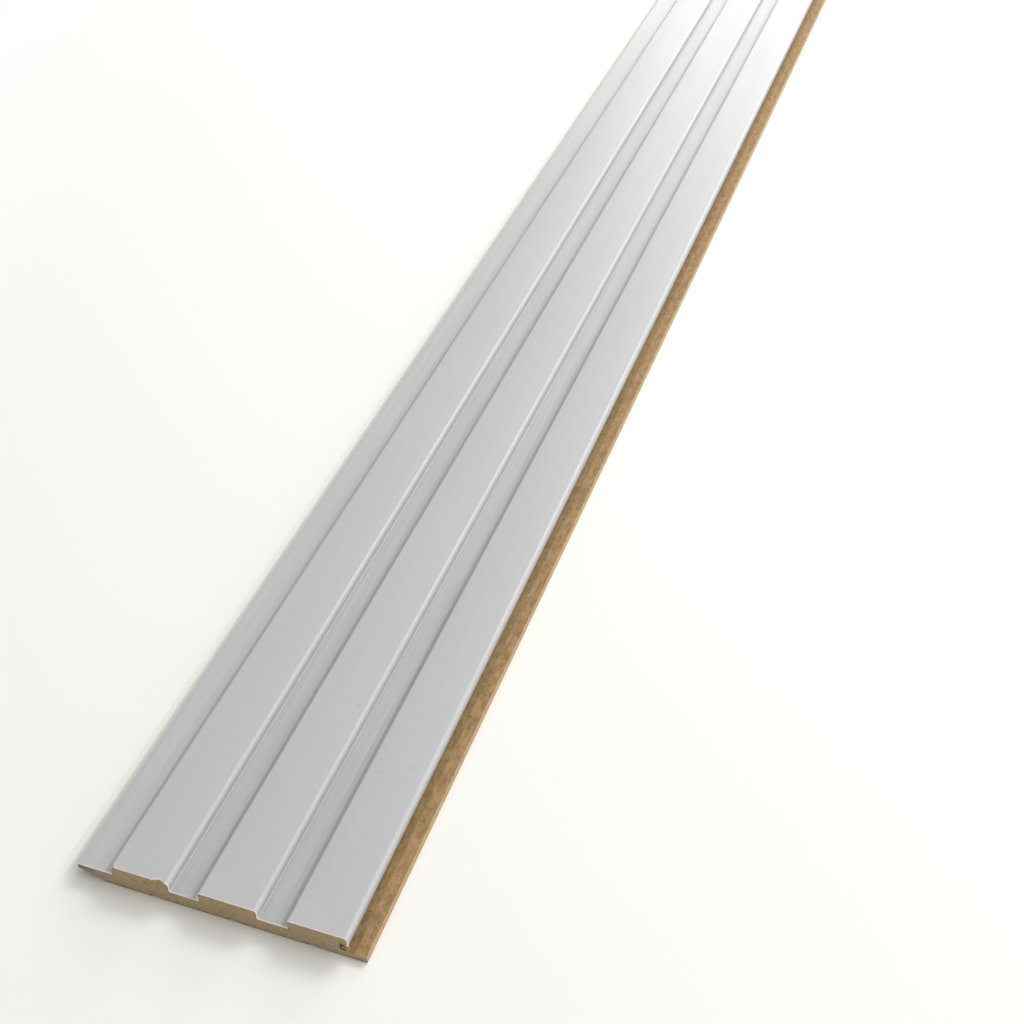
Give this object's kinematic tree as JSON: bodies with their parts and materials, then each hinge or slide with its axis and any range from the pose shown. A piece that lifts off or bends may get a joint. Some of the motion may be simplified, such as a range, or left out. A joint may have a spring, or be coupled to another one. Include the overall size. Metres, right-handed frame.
{
  "type": "mdf wall panel",
  "caption": "Long MDF wall panel with raised bars and channels on its face, a lip along one edge and a tongue with a hook slot along the other.",
  "frame": {"origin": "middle of the whole width and length, on the plane of the back face", "axes": "+X across the board from the lip to the tongue, +Y along the board, +Z from the back to the decorative face"},
  "size_m": [0.134, 2.7, 0.012],
  "materials": {
    "panel": "satin pale grey coating on the face and lip, bare brown fibreboard on the tongue, back and cut ends"
  },
  "bodies": {
    "root": {"wall_panel": "panel"}
  },
  "joints": []
}
